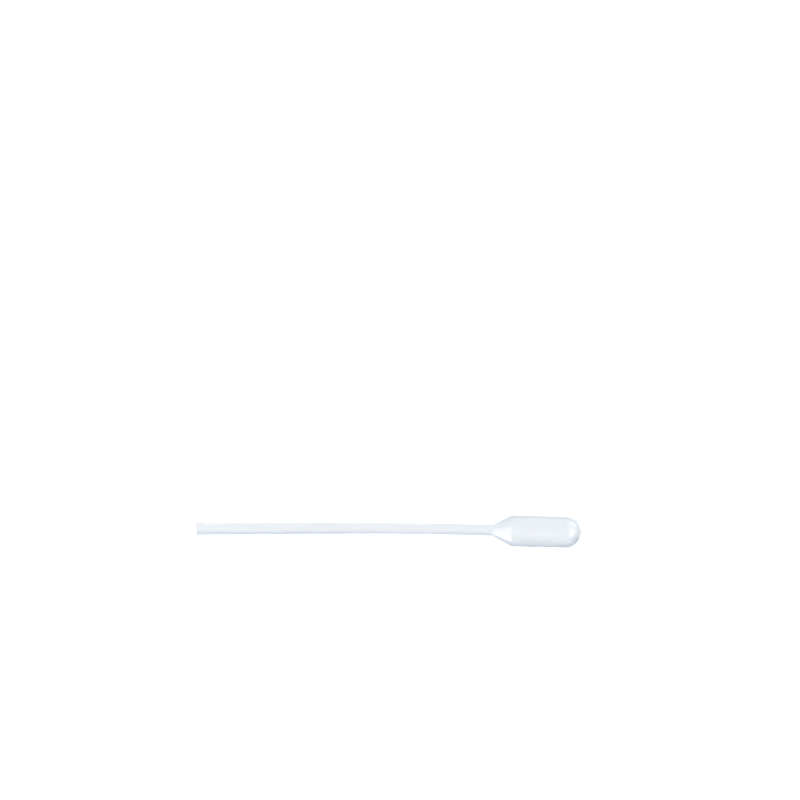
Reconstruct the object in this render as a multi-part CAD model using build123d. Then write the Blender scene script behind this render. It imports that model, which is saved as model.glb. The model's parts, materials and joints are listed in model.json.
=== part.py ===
"""Plastic dropper pipette: a thin stem and a squeeze bulb, blown in one piece from soft polyethylene.

The solid is the outer skin less the air space inside it. Both are built along one centre line, which
starts at the open tip and runs along +X to the closed end of the bulb. The finished piece is then laid
on its side, as it rests on a bench, with the middle of its footprint at the origin.
Run it to write parts/pipette.step. All sizes are in millimetres and all angles in degrees.
"""

import os
from math import asin, atan2, cos, degrees, floor, hypot, pi, radians, sin, tan

from build123d import *

# ---- Stem ----
STEM_LENGTH = 88.8  # open tip to the foot of the shoulder, along the centre line
STEM_DIAMETER = 3.25  # outside, from the bend to the shoulder
TIP_DIAMETER = 3.5  # outside, at the open tip
BORE_DIAMETER = 2.235
TIP_CUT_ANGLE = 5.0  # the knife's cut across the tip leans by this much from square
TIP_TRIM = 0.5  # blown past the tip, then cut away

# ---- Slight bow that the soft stem keeps after moulding ----
BEND_RADIUS = 1200.0
BEND_ANGLE = 1.75
BEND_TO_SHOULDER = 6.0  # straight run between the bend and the shoulder
BEND_SECTIONS = 5

# ---- Shoulder and bulb ----
SHOULDER_ANGLE = 29.0  # half angle of the shoulder cone
BULB_DIAMETER = 9.25
BULB_LENGTH = 16.6  # straight barrel of the bulb
DOME_HEIGHT = 4.25
SHOULDER_ROOT_RADIUS = 0.8  # outside, where the cone leaves the stem
SHOULDER_EDGE_RADIUS = 0.45  # outside, where the cone meets the barrel

# ---- Walls, thinner where the plastic was blown further out ----
SHOULDER_WALL = 0.42
BULB_WALL = 0.38
DOME_WALL = 0.55  # at the pole, thickened by the pinched seam
AIR_ROOT_RADIUS = 1.2
AIR_EDGE_RADIUS = 0.7

# ---- Graduation marks: bars cut into the mould with a ball cutter ----
MARK_VOLUME = 100.0  # cubic millimetres of liquid from one mark to the next
MARK_OFFSET = 0.35  # the scale starts this far inside the tip
MARK_CLEARANCE = 3.0  # at least this far from the last mark to the shoulder
MARK_CUTTER_RADIUS = 0.4
MARK_HEIGHT = 0.12
MARK_LENGTH = 1.0  # round the stem, between the centres of the bar's rounded ends

# ---- Pinched seam across the pole of the dome ----
SEAM_LENGTH = 5.2
SEAM_WIDTH = 0.36
SEAM_HEIGHT = 0.16
SEAM_EDGE_RADIUS = 0.1

# ---- Sizes that follow ----
STEM_RADIUS = STEM_DIAMETER / 2
TIP_RADIUS = TIP_DIAMETER / 2
BORE_RADIUS = BORE_DIAMETER / 2
BULB_RADIUS = BULB_DIAMETER / 2
AIR_BULB_RADIUS = BULB_RADIUS - BULB_WALL
BEND_LENGTH = BEND_RADIUS * radians(BEND_ANGLE)
BEND_END = STEM_LENGTH - BEND_TO_SHOULDER
TIP_RUN = BEND_END - BEND_LENGTH  # straight and tapered, from the tip to the bend
SHOULDER_LENGTH = (BULB_RADIUS - STEM_RADIUS) / tan(radians(SHOULDER_ANGLE))
BARREL_START = STEM_LENGTH + SHOULDER_LENGTH
DOME_START = BARREL_START + BULB_LENGTH
POLE = DOME_START + DOME_HEIGHT
MARK_PITCH = MARK_VOLUME / (pi * BORE_RADIUS**2)
MARK_COUNT = floor((STEM_LENGTH - MARK_OFFSET - MARK_CLEARANCE) / MARK_PITCH)


def station(along):
    """The place on the centre line this far from the tip, with its local +X along the line."""
    turned = min(max(along - TIP_RUN, 0.0), BEND_LENGTH) / BEND_RADIUS
    before = min(along, TIP_RUN)
    after = max(along - BEND_END, 0.0)
    x = before + BEND_RADIUS * sin(turned) + after * cos(turned)
    y = -BEND_RADIUS * (1 - cos(turned)) - after * sin(turned)
    return Location((x, y, 0), (0, 0, -degrees(turned)))


def turned_solid(outline):
    """The solid that a closed half outline sweeps round the local X axis. Its points are (along, radius)."""
    return revolve(outline, Axis.X, 360)


def bent_rod(radius):
    """A round rod of this radius through the bend, lofted through sections along it."""
    steps = [BEND_LENGTH * number / (BEND_SECTIONS - 1) for number in range(BEND_SECTIONS)]
    return loft([station(TIP_RUN + step) * Circle(radius).rotate(Axis.Y, 90) for step in steps])


def dome_arc(start, radius, height):
    """The arc of a spherical end, from (start, radius) to its pole on the axis."""
    sphere_radius = (radius**2 + height**2) / (2 * height)
    centre = start + height - sphere_radius
    half_way = atan2(radius, start - centre) / 2
    middle = (centre + sphere_radius * cos(half_way), sphere_radius * sin(half_way))
    return ThreePointArc((start, radius), middle, (start + height, 0))


def bulb_outline(radius, root, edge, bulb_radius, height, root_fillet, edge_fillet):
    """Half outline of stem, shoulder, barrel and dome. The shoulder runs from root to edge along the axis."""
    stem = Polyline((BEND_END, 0), (BEND_END, radius), (root, radius))
    bulb = Polyline((root, radius), (edge, bulb_radius), (DOME_START, bulb_radius))
    arc = dome_arc(DOME_START, bulb_radius, height)
    face = make_face(stem + bulb + arc + Line((DOME_START + height, 0), (BEND_END, 0)))
    face = fillet(face.vertices().sort_by_distance((root, radius))[0], root_fillet)
    return fillet(face.vertices().sort_by_distance((edge, bulb_radius))[0], edge_fillet)


def placed_past_bend(solid):
    """Moves a solid that was built along the X axis onto the centre line past the bend."""
    return station(BEND_END) * Location((-BEND_END, 0, 0)) * solid


def stem_and_bulb_skin():
    """The whole outside as a solid piece of plastic."""
    slope = (TIP_RADIUS - STEM_RADIUS) / TIP_RUN
    blown_tip = (-TIP_TRIM, TIP_RADIUS + slope * TIP_TRIM)
    tip = make_face(Polyline((-TIP_TRIM, 0), blown_tip, (TIP_RUN, STEM_RADIUS), (TIP_RUN, 0), close=True))
    bulb = bulb_outline(
        STEM_RADIUS,
        STEM_LENGTH,
        BARREL_START,
        BULB_RADIUS,
        DOME_HEIGHT,
        SHOULDER_ROOT_RADIUS,
        SHOULDER_EDGE_RADIUS,
    )
    return turned_solid(tip) + bent_rod(STEM_RADIUS) + placed_past_bend(turned_solid(bulb))


def air_space():
    """The bore and the inside of the bulb, open at the tip."""
    slope = tan(radians(SHOULDER_ANGLE))
    step_in = SHOULDER_WALL / cos(radians(SHOULDER_ANGLE))
    root = STEM_LENGTH + (BORE_RADIUS + step_in - STEM_RADIUS) / slope
    edge = STEM_LENGTH + (AIR_BULB_RADIUS + step_in - STEM_RADIUS) / slope
    bore = Rectangle(TIP_RUN + TIP_TRIM, BORE_RADIUS, align=(Align.MIN, Align.MIN))
    bulb = bulb_outline(
        BORE_RADIUS,
        root,
        edge,
        AIR_BULB_RADIUS,
        DOME_HEIGHT - DOME_WALL,
        AIR_ROOT_RADIUS,
        AIR_EDGE_RADIUS,
    )
    straight = turned_solid(Location((-TIP_TRIM, 0)) * bore)
    return straight + bent_rod(BORE_RADIUS) + placed_past_bend(turned_solid(bulb))


def graduation_mark(along):
    """One raised bar, curved round the top of the stem with rounded ends, as a ball cutter leaves it."""
    taper_left = max(1 - along / TIP_RUN, 0.0)
    stem_radius = STEM_RADIUS + (TIP_RADIUS - STEM_RADIUS) * taper_left
    centre = Location((0, 0, stem_radius + MARK_HEIGHT - MARK_CUTTER_RADIUS))
    half_turn = degrees(MARK_LENGTH / 2 / stem_radius)
    ball = centre * Sphere(MARK_CUTTER_RADIUS).rotate(Axis.Y, 90)  # with its poles under the skin
    disc = centre * Circle(MARK_CUTTER_RADIUS).rotate(Axis.X, 90)
    bar = revolve(disc.rotate(Axis.X, -half_turn), Axis.X, 2 * half_turn)
    return station(along) * (bar + ball.rotate(Axis.X, -half_turn) + ball.rotate(Axis.X, half_turn))


def pinched_seam():
    """The low ridge across the pole, where the mould nipped the hot tube shut: the rim of a thin disc."""
    sphere_radius = (BULB_RADIUS**2 + DOME_HEIGHT**2) / (2 * DOME_HEIGHT)
    half_turn = SEAM_LENGTH / 2 / sphere_radius
    half_chord = sphere_radius * sin(half_turn)
    rise = sphere_radius * (1 - cos(half_turn)) + SEAM_HEIGHT
    disc_radius = (half_chord**2 + rise**2) / (2 * rise)
    disc = Cylinder(disc_radius, SEAM_WIDTH)
    disc = fillet(disc.edges().filter_by(GeomType.CIRCLE), SEAM_EDGE_RADIUS)
    return placed_past_bend(Location((POLE + SEAM_HEIGHT - disc_radius, 0, 0)) * disc)


def cut_at_tip(solid):
    """The solid with its tip cut off at a slight slant, as a knife leaves it."""
    lean = radians(TIP_CUT_ANGLE)
    knife = Plane(origin=(0, 0, 0), z_dir=(cos(lean), sin(lean), 0))
    return split(solid, bisect_by=knife, keep=Keep.TOP)


def bench_lean():
    """How far the stem tilts up from the bench, with the tip's rim and the shoulder's edge resting on it."""
    edge_end = BARREL_START + SHOULDER_EDGE_RADIUS * tan(radians(SHOULDER_ANGLE) / 2)
    reach = station(edge_end).position.X
    drop = BULB_RADIUS - SHOULDER_EDGE_RADIUS - TIP_RADIUS
    return degrees(atan2(drop, reach) + asin(SHOULDER_EDGE_RADIUS / hypot(reach, drop)))


def laid_on_bench(solid):
    """The solid on its side, as it comes to rest, with the middle of its footprint at the origin."""
    resting = solid.rotate(Axis.Y, -bench_lean())
    box = resting.bounding_box()
    centre = box.center()
    return Location((-centre.X, -centre.Y, -box.min.Z)) * resting


def pipette():
    plastic = stem_and_bulb_skin() + pinched_seam()
    for number in range(1, MARK_COUNT + 1):
        plastic += graduation_mark(MARK_OFFSET + number * MARK_PITCH)
    return laid_on_bench(cut_at_tip(plastic - air_space()))


os.makedirs("parts", exist_ok=True)
export_step(pipette(), "parts/pipette.step")
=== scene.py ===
# %% [markdown]
# # A plastic dropper pipette
#
# This lesson makes one small piece of laboratory plastic: a disposable pipette, blown in one piece from soft,
# milky polyethylene. It has a thin stem with three raised bars, a cone shoulder, and a bulb with a round end.
#
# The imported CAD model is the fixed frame. It says where the pipette lies, how big it is and which way its
# bore and bulb point, and everything below takes its place from there. Blender only adds what CAD leaves out:
# a finely shaped skin with its parting line and its uneven blown wall, the plastic itself, and the light.

# %% Load the frame
import json
from math import atan2, cos, degrees, hypot, pi, radians, sin, sqrt, tan

import bmesh
import bpy
from mathutils import Matrix, Vector, noise


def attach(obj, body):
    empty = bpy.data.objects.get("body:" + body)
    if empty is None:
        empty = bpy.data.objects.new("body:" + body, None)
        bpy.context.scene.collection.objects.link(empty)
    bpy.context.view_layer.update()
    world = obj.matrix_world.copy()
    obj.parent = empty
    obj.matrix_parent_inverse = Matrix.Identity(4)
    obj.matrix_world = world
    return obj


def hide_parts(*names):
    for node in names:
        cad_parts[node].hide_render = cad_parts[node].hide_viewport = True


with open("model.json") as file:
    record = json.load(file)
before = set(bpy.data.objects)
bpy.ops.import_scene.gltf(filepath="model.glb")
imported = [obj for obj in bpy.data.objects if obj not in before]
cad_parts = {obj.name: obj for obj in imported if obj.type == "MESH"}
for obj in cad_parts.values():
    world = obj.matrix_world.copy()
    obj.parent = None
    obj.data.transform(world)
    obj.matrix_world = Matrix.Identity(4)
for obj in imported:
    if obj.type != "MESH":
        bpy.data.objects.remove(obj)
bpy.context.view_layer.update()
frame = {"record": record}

# %% [markdown]
# ## Sizes
#
# The record that comes with the frame holds two mounts: the bore at the tip and the round barrel of the bulb.
# They give the bore, the length of the tip's straight run and the radius of the bulb, and the angle between
# their axes is the slight bow that the soft stem has kept. The sizes that no mount states are named values,
# here or where they are first needed. The pipette's own are in millimetres, because the mesh is modelled in
# millimetres along the X axis, with the tip at zero, and only laid in place at the end.

# %% Sizes of the pipette
MM = 0.001
mounts = {mount["name"]: mount for mount in frame["record"]["mounts"]}
tip_bore = mounts["tip_bore"]
bulb_barrel = mounts["bulb_barrel"]

BORE_RADIUS = tip_bore["dims"]["r_mm"]
TIP_RUN = tip_bore["dims"]["length_mm"]
BULB_RADIUS = bulb_barrel["dims"]["r_mm"]

TIP_RADIUS = 1.75
STEM_RADIUS = 1.625
STEM_LENGTH = 88.8
BOW_RADIUS = 1200.0
BOW_TURN = Vector(tip_bore["axis"]).angle(-Vector(bulb_barrel["axis"]))
BOW_LENGTH = BOW_RADIUS * BOW_TURN

SHOULDER_TURN = radians(29)
SHOULDER_END = STEM_LENGTH + (BULB_RADIUS - STEM_RADIUS) / tan(SHOULDER_TURN)
BARREL_LENGTH = 16.6
DOME_START = SHOULDER_END + BARREL_LENGTH
DOME_HEIGHT = 4.25
print("bow of the stem in degrees:", round(degrees(BOW_TURN), 3))

# %% [markdown]
# Each bar marks the same volume of liquid more, so the pitch of the bars follows from the bore.

# %% Places of the graduation bars
MARK_VOLUME = 100.0
MARK_OFFSET = 0.35
MARK_COUNT = 3
MARK_PITCH = MARK_VOLUME / (pi * BORE_RADIUS**2)
MARKS = [MARK_OFFSET + number * MARK_PITCH for number in range(1, MARK_COUNT + 1)]
print("bars in mm from the tip:", [round(mark, 2) for mark in MARKS])

# %% [markdown]
# ## The skin as a spun outline
#
# A blown bottle is round about its axis, so its skin is an outline turned round that axis, as on a lathe. A
# cylinder could be scaled ring by ring instead, but an outline keeps every size in one short list. It is a
# chain of vertices and edges in the XZ plane. Only its corners are given: a vertex bevel rounds them, and the
# dome is a vertex that is spun round the centre of its sphere. Long edges are then subdivided, finely where
# small detail comes, so that the mesh can follow the bow and the ripples of the wall.

# %% Draw an outline
CORNER_SEGMENTS = 8


def draw_outline(bm, corners):
    """Joins the corners, given as (along, radius), with edges, and returns the vertices."""
    verts = [bm.verts.new((along, 0, radius)) for along, radius in corners]
    for start, end in zip(verts, verts[1:]):
        bm.edges.new((start, end))
    return verts


def round_corner(bm, vert, radius, turn):
    """Rounds a corner of the outline where it turns by this angle."""
    bmesh.ops.bevel(
        bm,
        geom=[vert],
        offset=radius * tan(turn / 2),
        offset_type="OFFSET",
        affect="VERTICES",
        segments=CORNER_SEGMENTS,
        profile=0.5,
        material=-1,
    )


def close_with_dome(bm, vert, height, steps):
    """Spins the last vertex of the outline down to the axis, on a sphere that rises by this height."""
    start, radius = vert.co.x, vert.co.z
    sphere = (radius**2 + height**2) / (2 * height)
    centre = start + height - sphere
    turn = atan2(radius, start - centre)
    bmesh.ops.spin(bm, geom=[vert], cent=(centre, 0, 0), axis=(0, 1, 0), angle=turn, steps=steps)


# %% Split its long edges
STEM_RING_GAP = 0.8
BULB_RING_GAP = 0.3
BAR_RING_GAP = 0.045
BAR_ZONE = 0.4
PLAIN_STEM_END = STEM_LENGTH - 1


def ring_gap(along):
    """Distance between the rings of a skin, closer from the end of the plain stem on."""
    return STEM_RING_GAP if along < PLAIN_STEM_END else BULB_RING_GAP


def outer_ring_gap(along):
    """The same for the outer skin, whose rings are closest where a bar stands."""
    if any(abs(along - mark) < BAR_ZONE for mark in MARKS):
        return BAR_RING_GAP
    return ring_gap(along)


def split_edges(bm, gap_at):
    """Subdivides each edge of the outline to the distance that is wanted at its middle."""
    for edge in list(bm.edges):
        middle = (edge.verts[0].co.x + edge.verts[1].co.x) / 2
        cuts = int(edge.calc_length() / gap_at(middle))
        if cuts:
            bmesh.ops.subdivide_edges(bm, edges=[edge], cuts=cuts)


# %% [markdown]
# The outline is spun in sectors, because the skin needs more columns in some places than in others: many
# close ones along the top, where the bars stand, and along the two sides, where the mould's halves met. A
# sector is given as its turn in degrees and its number of columns. Each goes on from the last one's end, and
# the doubles where the turn closes, and at the pole, are merged.

# %% Spin an outline in sectors
TOP_HALF = 35
SIDE_HALF = 3
PLAIN = 90 - TOP_HALF - SIDE_HALF
SECTORS = [
    (2 * TOP_HALF, 46),
    (PLAIN, 13),
    (2 * SIDE_HALF, 6),
    (180 - 2 * SIDE_HALF, 44),
    (2 * SIDE_HALF, 6),
    (PLAIN, 13),
]
MERGE_DISTANCE = 0.0005


def spin_outline(bm):
    """Turns the outline once round the X axis, from one edge of the top sector, and merges the doubles."""
    start = Matrix.Rotation(radians(-TOP_HALF), 3, "X")
    bmesh.ops.rotate(bm, verts=bm.verts[:], cent=(0, 0, 0), matrix=start)
    chain = bm.verts[:] + bm.edges[:]
    for turn, steps in SECTORS:
        angle = radians(turn)
        spun = bmesh.ops.spin(bm, geom=chain, cent=(0, 0, 0), axis=(1, 0, 0), angle=angle, steps=steps)
        chain = spun["geom_last"]
    bmesh.ops.remove_doubles(bm, verts=bm.verts[:], dist=MERGE_DISTANCE)
    bmesh.ops.recalc_face_normals(bm, faces=bm.faces[:])


print("columns round the skin:", sum(steps for turn, steps in SECTORS))

# %% [markdown]
# ## The outer skin
#
# The tip is a little wider than the stem, and the stem tapers down from it to where the bow starts. The skin
# begins half a millimetre past the tip, because the tube is blown longer than it is sold, and is cut later.
# The corners on both sides of a bar bound the stretch where the rings are closest.

# %% Outer skin
TIP_TRIM = 0.5
ROOT_ROUND = 0.8
EDGE_ROUND = 0.45
DOME_STEPS = 30

taper = (TIP_RADIUS - STEM_RADIUS) / TIP_RUN
corners = [(-TIP_TRIM, TIP_RADIUS + taper * TIP_TRIM)]
for mark in MARKS:
    for along in (mark - BAR_ZONE, mark + BAR_ZONE):
        corners.append((along, STEM_RADIUS + taper * max(TIP_RUN - along, 0)))
    if mark < TIP_RUN < mark + MARK_PITCH:
        corners.append((TIP_RUN, STEM_RADIUS))
corners += [(STEM_LENGTH, STEM_RADIUS), (SHOULDER_END, BULB_RADIUS), (DOME_START, BULB_RADIUS)]

outer = bmesh.new()
verts = draw_outline(outer, corners)
shoulder_root, shoulder_edge, barrel_end = verts[-3:]
close_with_dome(outer, barrel_end, DOME_HEIGHT, DOME_STEPS)
round_corner(outer, shoulder_root, ROOT_ROUND, SHOULDER_TURN)
round_corner(outer, shoulder_edge, EDGE_ROUND, SHOULDER_TURN)
split_edges(outer, outer_ring_gap)
spin_outline(outer)
print("outer skin:", len(outer.verts), "vertices")

# %% [markdown]
# ## The air space
#
# The inside is a second outline, for the bore and the air in the bulb. A Solidify modifier on the outer skin
# would give one thickness everywhere. The real wall is thick in the stem and thin in the bulb, where the
# plastic was blown out furthest.

# %% Inner skin
SHOULDER_WALL = 0.42
BULB_WALL = 0.38
DOME_WALL = 0.55
AIR_ROOT_ROUND = 1.2
AIR_EDGE_ROUND = 0.7
AIR_DOME_STEPS = 28

slope = tan(SHOULDER_TURN)
step_in = SHOULDER_WALL / cos(SHOULDER_TURN)
air_radius = BULB_RADIUS - BULB_WALL
air_root = STEM_LENGTH + (BORE_RADIUS + step_in - STEM_RADIUS) / slope
air_edge = STEM_LENGTH + (air_radius + step_in - STEM_RADIUS) / slope
corners = [(-TIP_TRIM, BORE_RADIUS), (TIP_RUN, BORE_RADIUS), (air_root, BORE_RADIUS)]
corners += [(air_edge, air_radius), (DOME_START, air_radius)]

inner = bmesh.new()
verts = draw_outline(inner, corners)
root, edge, barrel_end = verts[-3:]
close_with_dome(inner, barrel_end, DOME_HEIGHT - DOME_WALL, AIR_DOME_STEPS)
round_corner(inner, root, AIR_ROOT_ROUND, SHOULDER_TURN)
round_corner(inner, edge, AIR_EDGE_ROUND, SHOULDER_TURN)
split_edges(inner, ring_gap)
spin_outline(inner)
print("inner skin:", len(inner.verts), "vertices")

# %% [markdown]
# ## Relief
#
# Three things stand out of the skin. The graduation bars were cut into the mould with a ball cutter, so each
# is part of a ball swept round the stem. The parting line is the faint ridge along both sides where the
# mould's halves met. The pinched seam is where they nipped the hot tube shut, across the pole of the dome.
#
# Separate pieces could be joined on with a Boolean, but that breaks up the even grid of faces, which shows in
# clear plastic. Here each is a height above the plain skin, and the vertices are moved out along their
# normals.

# %% Graduation bars
CUTTER_RADIUS = 0.4
BAR_HEIGHT = 0.12
BAR_LENGTH = 1.0


def bar_height(along, round_top):
    """Height of a graduation bar at this distance along the stem and round it from the top line."""
    nearest = min(MARKS, key=lambda mark: abs(along - mark))
    reach = hypot(along - nearest, max(abs(round_top) - BAR_LENGTH / 2, 0))
    if reach >= CUTTER_RADIUS:
        return 0
    return max(sqrt(CUTTER_RADIUS**2 - reach**2) - CUTTER_RADIUS + BAR_HEIGHT, 0)


print("height of a bar at its middle:", round(bar_height(MARKS[0], 0), 3))

# %% Parting line
PARTING_HEIGHT = 0.012
PARTING_HALF_WIDTH = 0.085
PARTING_CHANGE = 0.2
PARTING_REACH = 4


def parting_height(along, off_side):
    """Height of the parting line, which changes a little along its length."""
    shape = max(1 - (off_side / PARTING_HALF_WIDTH) ** 2, 0)
    change = PARTING_CHANGE * noise.noise(Vector((along / PARTING_REACH, 0, 0)))
    return PARTING_HEIGHT * shape * (1 + change)


print("height of the parting line at the barrel:", round(parting_height(SHOULDER_END, 0), 4))

# %% Pinched seam
SEAM_RISE = 0.03
SEAM_HALF_LENGTH = 1.8
SEAM_HALF_WIDTH = 0.35


def seam_height(across, off_side):
    """Height of the pinched seam on the dome, across the pole and off the parting plane."""
    along_seam = max(1 - (across / SEAM_HALF_LENGTH) ** 2, 0)
    flank = max(1 - abs(off_side) / SEAM_HALF_WIDTH, 0)
    return SEAM_RISE * along_seam * flank * flank * (3 - 2 * flank)


print("height of the seam at the pole:", round(seam_height(0, 0), 3))

# %% Raise them on the outer skin
outer.normal_update()
raised = 0
for vert in outer.verts:
    x, y, z = vert.co
    radius = hypot(y, z)
    off_top = atan2(-y, z) * radius
    height = parting_height(x, z)
    if x < PLAIN_STEM_END:
        height += bar_height(x, off_top)
    if x > DOME_START:
        height = max(height, seam_height(y, z))
    vert.co += vert.normal * height
    raised += height > 0
print("raised vertices:", raised)

# %% [markdown]
# ## The uneven wall
#
# The mould shapes the outside, but nothing shapes the inside: the wall thins and thickens in long streaks as
# the tube is drawn and blown. A Bump node could put such streaks in the shading alone. Here they are in the
# mesh, so that the wall really changes: smooth noise, stretched along the pipette, moves the inside of the
# bulb in and out by a few thousandths of a millimetre.

# %% Ripples of the inner skin
RIPPLE_DEPTH = 0.002
RIPPLE_RUN_IN = 3
PLAIN_POLE_RADIUS = 0.2


def ripple(vert, reach, stretch, seed):
    """Noise between -1 and 1 that changes over `reach` millimetres round the skin, and slower along it."""
    x, y, z = vert.co
    return noise.noise(Vector((x / (reach * stretch) + seed, y / reach, z / reach)))


rippled = 0
for vert in inner.verts:
    in_bulb = min(max((vert.co.x - STEM_LENGTH) / RIPPLE_RUN_IN, 0), 1)
    depth = RIPPLE_DEPTH * in_bulb
    streaks = ripple(vert, reach=0.8, stretch=30, seed=3)
    patches = ripple(vert, reach=0.9, stretch=3, seed=7)
    move = streaks + 0.5 * patches
    outwards = Vector((0, vert.co.y, vert.co.z))
    if outwards.length > PLAIN_POLE_RADIUS:
        vert.co += outwards.normalized() * depth * move
        rippled += depth > 0
print("rippled vertices:", rippled)

# %% [markdown]
# ## One closed skin, cut at the tip
#
# The two skins become one mesh. A knife plane cuts both at the tip, a few degrees off square, as the real one
# is cut. The two rims are bridged to one flat ring: the mouth's rim is pushed aside meanwhile, which shows
# the operator how the two rings face each other. The shell is then closed, so its normals can be turned to
# point out of the plastic everywhere, the bore included. Last, the rims' edges are broken with a very small
# bevel.

# %% Join the two skins
whole = bmesh.new()
for skin in (outer, inner):
    mesh = bpy.data.meshes.new("skin")
    skin.to_mesh(mesh)
    skin.free()
    whole.from_mesh(mesh)
    bpy.data.meshes.remove(mesh)
print("both skins:", len(whole.verts), "vertices")

# %% Cut and close the tip
CUT_SLANT = radians(5)
RIM_BREAK = 0.035
PUSH = Vector((1, 0, 0))

bmesh.ops.bisect_plane(
    whole,
    geom=whole.verts[:] + whole.edges[:] + whole.faces[:],
    plane_co=(0, 0, 0),
    plane_no=(cos(CUT_SLANT), sin(CUT_SLANT), 0),
    clear_inner=True,
)
rims = [edge for edge in whole.edges if edge.is_boundary]
mouth = {vert for edge in rims for vert in edge.verts if hypot(vert.co.y, vert.co.z) < STEM_RADIUS}
bmesh.ops.translate(whole, verts=list(mouth), vec=-PUSH)
bmesh.ops.bridge_loops(whole, edges=rims)
bmesh.ops.translate(whole, verts=list(mouth), vec=PUSH)
bmesh.ops.recalc_face_normals(whole, faces=whole.faces[:])
bmesh.ops.bevel(
    whole,
    geom=rims,
    offset=RIM_BREAK,
    offset_type="OFFSET",
    affect="EDGES",
    segments=2,
    profile=0.5,
    material=-1,
)
open_edges = [edge for edge in whole.edges if not edge.is_manifold]
print("open edges:", len(open_edges), "volume in cubic mm:", round(whole.calc_volume(), 1))

# %% [markdown]
# ## Bow it and lay it down
#
# The mesh is still straight. A Curve modifier could bend it, but a short function keeps to the CAD model's
# own centre line. Each vertex is moved to the same place beside that line: nothing up to the end of the tip's
# straight run, then round a large arc, then straight on. The mount at the tip then says where the mouth is
# and which way the stem points, which is all that laying it down needs.

# %% Bow the stem
def bowed(point):
    """The same place beside the bowed centre line as the point has beside the straight one."""
    past = point.x - TIP_RUN
    if past <= 0:
        return point
    turn = min(past, BOW_LENGTH) / BOW_RADIUS
    line = Vector((TIP_RUN + BOW_RADIUS * sin(turn), -BOW_RADIUS * (1 - cos(turn)), 0))
    beyond = max(past - BOW_LENGTH, 0)
    return line + Matrix.Rotation(-turn, 3, "Z") @ Vector((beyond, point.y, point.z))


for vert in whole.verts:
    vert.co = bowed(vert.co)
print("shift of the barrel's end by the bow in mm:", round(bowed(Vector((DOME_START, 0, 0))).y, 2))

# %% Lay it in place
SHARP_ANGLE = radians(50)

stem_axis = -Vector(tip_bore["axis"])
across = Vector((0, 1, 0))
laid = Matrix((stem_axis, across, stem_axis.cross(across))).transposed().to_4x4()
laid = Matrix.Translation(tip_bore["pos_m"]) @ laid @ Matrix.Scale(MM, 4)
bmesh.ops.transform(whole, matrix=laid, verts=whole.verts[:])

mesh = bpy.data.meshes.new("blown_pipette")
whole.to_mesh(mesh)
whole.free()
mesh.shade_smooth()
mesh.set_sharp_from_angle(angle=SHARP_ANGLE)
pipette = bpy.data.objects.new("blown_pipette", mesh)
bpy.context.collection.objects.link(pipette)
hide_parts("pipette")
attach(pipette, "root")
print("pipette:", len(mesh.vertices), "vertices", len(mesh.polygons), "faces")

# %% [markdown]
# ## Soft polyethylene
#
# Low-density polyethylene lets light through but scatters it on the way, so it looks milky, with a soft
# shine. A scattering volume in the wall would do that too, but it takes many more samples. One Principled
# BSDF holds it all here: most of it is clear but rough, which blurs what is behind, and the rest is white and
# takes the light like paper. A coat over both keeps the shine of the smooth moulded skin, which the rough
# body alone would lose. Where the skin turns away from the eye, the colour goes from nearly white to a pale
# blue: light crosses a little more plastic there, but most of that blue edge is painted shade.

# %% Helpers for materials
COLOUR_A = 6
COLOUR_B = 7
COLOUR_OUT = 2


def new_material(name):
    """An empty node material, with its nodes, its links and its output."""
    material = bpy.data.materials.new(name)
    material.use_nodes = True
    nodes = material.node_tree.nodes
    nodes.clear()
    return material, nodes, material.node_tree.links, nodes.new("ShaderNodeOutputMaterial")


def smooth_step(nodes, start, end):
    """A node that goes smoothly from 0 to 1 as its value goes from start to end."""
    step = nodes.new("ShaderNodeMapRange")
    step.interpolation_type = "SMOOTHSTEP"
    step.inputs["From Min"].default_value = start
    step.inputs["From Max"].default_value = end
    return step


def colour_mix(nodes, first, second):
    """A Mix node for colours, whose own sockets come after those for numbers and vectors."""
    mix = nodes.new("ShaderNodeMix")
    mix.data_type = "RGBA"
    mix.inputs[COLOUR_A].default_value = (*first, 1)
    mix.inputs[COLOUR_B].default_value = (*second, 1)
    return mix


# %% The plastic
plastic, nodes, links, output = new_material("blown_polyethylene")
shader = nodes.new("ShaderNodeBsdfPrincipled")
shader.inputs["Roughness"].default_value = 0.275
shader.inputs["Coat Weight"].default_value = 0.5
shader.inputs["Coat Roughness"].default_value = 0.1
shader.inputs["IOR"].default_value = 1.51
shader.inputs["Transmission Weight"].default_value = 0.9
grazing = nodes.new("ShaderNodeLayerWeight")
grazing.inputs["Blend"].default_value = 0.5


def towards_edge(start, end, middle_colour, edge_colour):
    """A colour that goes from one to the other as the surface turns away, between these Facing values."""
    turn = smooth_step(nodes, start, end)
    mix = colour_mix(nodes, middle_colour, edge_colour)
    links.new(grazing.outputs["Facing"], turn.inputs["Value"])
    links.new(turn.outputs[0], mix.inputs[0])
    return mix.outputs[COLOUR_OUT]


# Painted edge shade: the base colour turns a darker pale blue where the skin faces away from the camera.
edge_shade_tint = towards_edge(0.2, 0.7, middle_colour=(0.946, 0.946, 0.945), edge_colour=(0.83, 0.92, 0.98))
links.new(edge_shade_tint, shader.inputs["Base Color"])
print("plastic:", plastic.name, "with", len(nodes), "nodes")

# %% [markdown]
# Two refracting skins would keep nearly all lamp light from the table below. So for a ray to a lamp the
# plastic is only a transparent veil, a little darker where it turns away, and its shadow is as light as a
# real one's.

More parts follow.
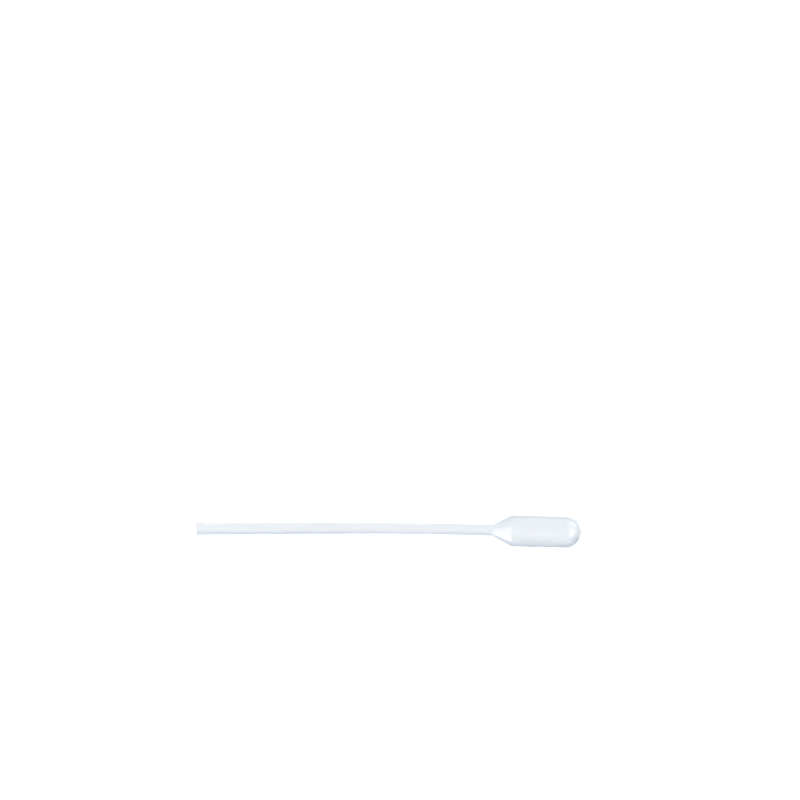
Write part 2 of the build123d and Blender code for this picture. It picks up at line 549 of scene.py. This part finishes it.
# %% The veil for shadow rays
veil = nodes.new("ShaderNodeBsdfTransparent")
shade = towards_edge(0.35, 0.6, middle_colour=(0.985, 0.987, 0.99), edge_colour=(0.74, 0.82, 0.89))
links.new(shade, veil.inputs["Color"])
to_lamp = nodes.new("ShaderNodeLightPath")
either = nodes.new("ShaderNodeMixShader")
links.new(to_lamp.outputs["Is Shadow Ray"], either.inputs[0])
links.new(shader.outputs["BSDF"], either.inputs[1])
links.new(veil.outputs["BSDF"], either.inputs[2])
links.new(either.outputs[0], output.inputs["Surface"])
mesh.materials.append(plastic)
print("plastic with its veil:", len(nodes), "nodes")

# %% [markdown]
# ## Floor and light
#
# The pipette lies on a plain white table. Stronger lamps would make the table white, but they would burn out
# the plastic as well. So light path switches lift the table instead: most where it is seen directly, less
# where it is seen through the plastic, and least where the plastic mirrors it. From here on, sizes and places
# are in metres, as the scene's are.

# %% Floor
FLOOR_SIZE = 6.0
bm = bmesh.new()
bmesh.ops.create_grid(bm, x_segments=1, y_segments=1, size=FLOOR_SIZE / 2)
floor_mesh = bpy.data.meshes.new("floor")
bm.to_mesh(floor_mesh)
bm.free()
table = bpy.data.objects.new("floor", floor_mesh)
bpy.context.collection.objects.link(table)
print("floor in m:", list(table.dimensions))

# %% White table
TABLE_COLOUR = (0.82, 0.825, 0.83)
LIFTS = {"Is Camera Ray": 0.6, "Is Transmission Ray": 0.385, "Is Glossy Ray": 0.1}

white, nodes, links, output = new_material("white_table")
paint = nodes.new("ShaderNodeBsdfDiffuse")
paint.inputs["Color"].default_value = (*TABLE_COLOUR, 1)
glow = nodes.new("ShaderNodeEmission")
path = nodes.new("ShaderNodeLightPath")
both = nodes.new("ShaderNodeAddShader")


def lift(ray, amount, below):
    """Adds this much light where the table is seen by this kind of ray, unless more is there already."""
    scaled = nodes.new("ShaderNodeMath")
    scaled.operation = "MULTIPLY"
    scaled.inputs[1].default_value = amount
    links.new(path.outputs[ray], scaled.inputs[0])
    if below is None:
        return scaled.outputs[0]
    more = nodes.new("ShaderNodeMath")
    more.operation = "MAXIMUM"
    links.new(scaled.outputs[0], more.inputs[0])
    links.new(below, more.inputs[1])
    return more.outputs[0]


lifted = None
for ray, amount in LIFTS.items():
    lifted = lift(ray, amount, lifted)
links.new(lifted, glow.inputs["Strength"])
links.new(paint.outputs[0], both.inputs[0])
links.new(glow.outputs[0], both.inputs[1])
links.new(both.outputs[0], output.inputs["Surface"])
floor_mesh.materials.append(white)
print("table lifted for", len(LIFTS), "kinds of ray")

# %% [markdown]
# Except where the table is seen directly, the lift is a painted pool of light that ends just in front of the
# pipette, with painted cool shade beyond it. The bent walls look out past its edge, and gather that painted
# shade into a thin blue line along the stem and the bulb. The edge runs nearly along the X axis: it slants a
# little, as the bowed pipette does.

# %% Pool of light
POOL_SLANT = 0.04
POOL_DARK = -0.004
POOL_LIGHT = -0.0026
COOL_SHADE = (0, 0.14, 0.45)
WHITE = (1, 1, 1)

place = nodes.new("ShaderNodeTexCoord")
slant = nodes.new("ShaderNodeVectorMath")
slant.operation = "DOT_PRODUCT"
slant.inputs[1].default_value = (POOL_SLANT, 1, 0)
pool = smooth_step(nodes, POOL_DARK, POOL_LIGHT)
white_here = nodes.new("ShaderNodeMath")
white_here.operation = "MAXIMUM"
# The glow's colour is painted light and shade: white in the pool, cool shade past its edge, and white
# wherever the camera sees the table directly.
tone = colour_mix(nodes, COOL_SHADE, WHITE)
links.new(place.outputs["Object"], slant.inputs[0])
links.new(slant.outputs["Value"], pool.inputs["Value"])
links.new(pool.outputs[0], white_here.inputs[0])
links.new(path.outputs["Is Camera Ray"], white_here.inputs[1])
links.new(white_here.outputs[0], tone.inputs[0])
links.new(tone.outputs[COLOUR_OUT], glow.inputs["Color"])
print("the pool's edge is", round((POOL_LIGHT - POOL_DARK) / MM, 2), "mm wide")

# %% [markdown]
# The room is pale at the back, and cool and dim at the front, which gives the plastic's edges their tone.

# %% Room
ROOM_STRENGTH = 0.42
DIM_END = -0.9
PALE_END = 0.1
DIM_FRONT = (0.28, 0.42, 0.56)
PALE_BACK = (0.95, 0.955, 0.97)

world = bpy.data.worlds.new("studio")
bpy.context.scene.world = world
world.use_nodes = True
nodes = world.node_tree.nodes
links = world.node_tree.links
nodes.clear()
output = nodes.new("ShaderNodeOutputWorld")
background = nodes.new("ShaderNodeBackground")
background.inputs["Strength"].default_value = ROOM_STRENGTH
where = nodes.new("ShaderNodeTexCoord")
split = nodes.new("ShaderNodeSeparateXYZ")
spread = smooth_step(nodes, DIM_END, PALE_END)
walls = colour_mix(nodes, DIM_FRONT, PALE_BACK)
links.new(where.outputs["Generated"], split.inputs[0])
links.new(split.outputs["Y"], spread.inputs["Value"])
links.new(spread.outputs[0], walls.inputs[0])
links.new(walls.outputs[COLOUR_OUT], background.inputs["Color"])
links.new(background.outputs[0], output.inputs["Surface"])
print("room:", world.name, "with", len(nodes), "nodes")

# %% [markdown]
# The key light comes steeply from behind. It only lights: it isn't seen in the plastic or through it, because
# it would run as a hard streak along the whole bulb. The three softboxes are there to be seen in the plastic.
# The small one on the left shines on the middle of the shoulder, the long low one on its front flank, and the
# large one on the right on the dome.

# %% Lamps
def softbox(name, place, width, height, power):
    """An area lamp at this place in metres, turned to face the pipette."""
    lamp = bpy.data.lights.new(name, "AREA")
    lamp.shape = "RECTANGLE"
    lamp.size = width
    lamp.size_y = height
    lamp.energy = power
    light = bpy.data.objects.new(name, lamp)
    light.location = place
    light.rotation_euler = Vector(place).to_track_quat("Z", "Y").to_euler()
    bpy.context.collection.objects.link(light)
    return light


key = softbox("key", (0.1, 0.75, 1.1), width=0.4, height=0.4, power=7.5)
key.visible_glossy = False
key.visible_transmission = False
softbox("softbox_left", (-1.1, 0.1, 0.6), width=0.3, height=0.3, power=0.4)
softbox("softbox_front_left", (-0.9, -0.8, 0.25), width=1.2, height=0.5, power=9)
softbox("softbox_right", (1.0, -0.1, 0.85), width=0.7, height=0.8, power=4.5)
print("lamps:", [lamp.name for lamp in bpy.data.lights])

# %% [markdown]
# ## Camera
#
# The camera looks straight down on the table, with a long lens. The pipette is turned a fraction of a degree
# in its view, and lies below the middle. The camera's height follows from the width of the view at the height
# of the bulb's middle.

# %% Camera
VIEW_WIDTH = 0.23893
VIEW_TURN = radians(-0.307)
VIEW_X = 0.00372
VIEW_Y = 0.03952
BULB_MIDDLE = 0.005
LENS = 100
SENSOR = 36

distance = VIEW_WIDTH * LENS / SENSOR
camera = bpy.data.cameras.new("camera")
camera.lens = LENS
camera.sensor_width = SENSOR
camera_object = bpy.data.objects.new("camera", camera)
camera_object.location = (VIEW_X, VIEW_Y, distance + BULB_MIDDLE)
camera_object.rotation_euler = (0, 0, VIEW_TURN)
bpy.context.collection.objects.link(camera_object)
bpy.context.scene.camera = camera_object
bpy.context.scene.view_settings.view_transform = "Standard"
print("camera in m above the table:", round(distance + BULB_MIDDLE, 4))
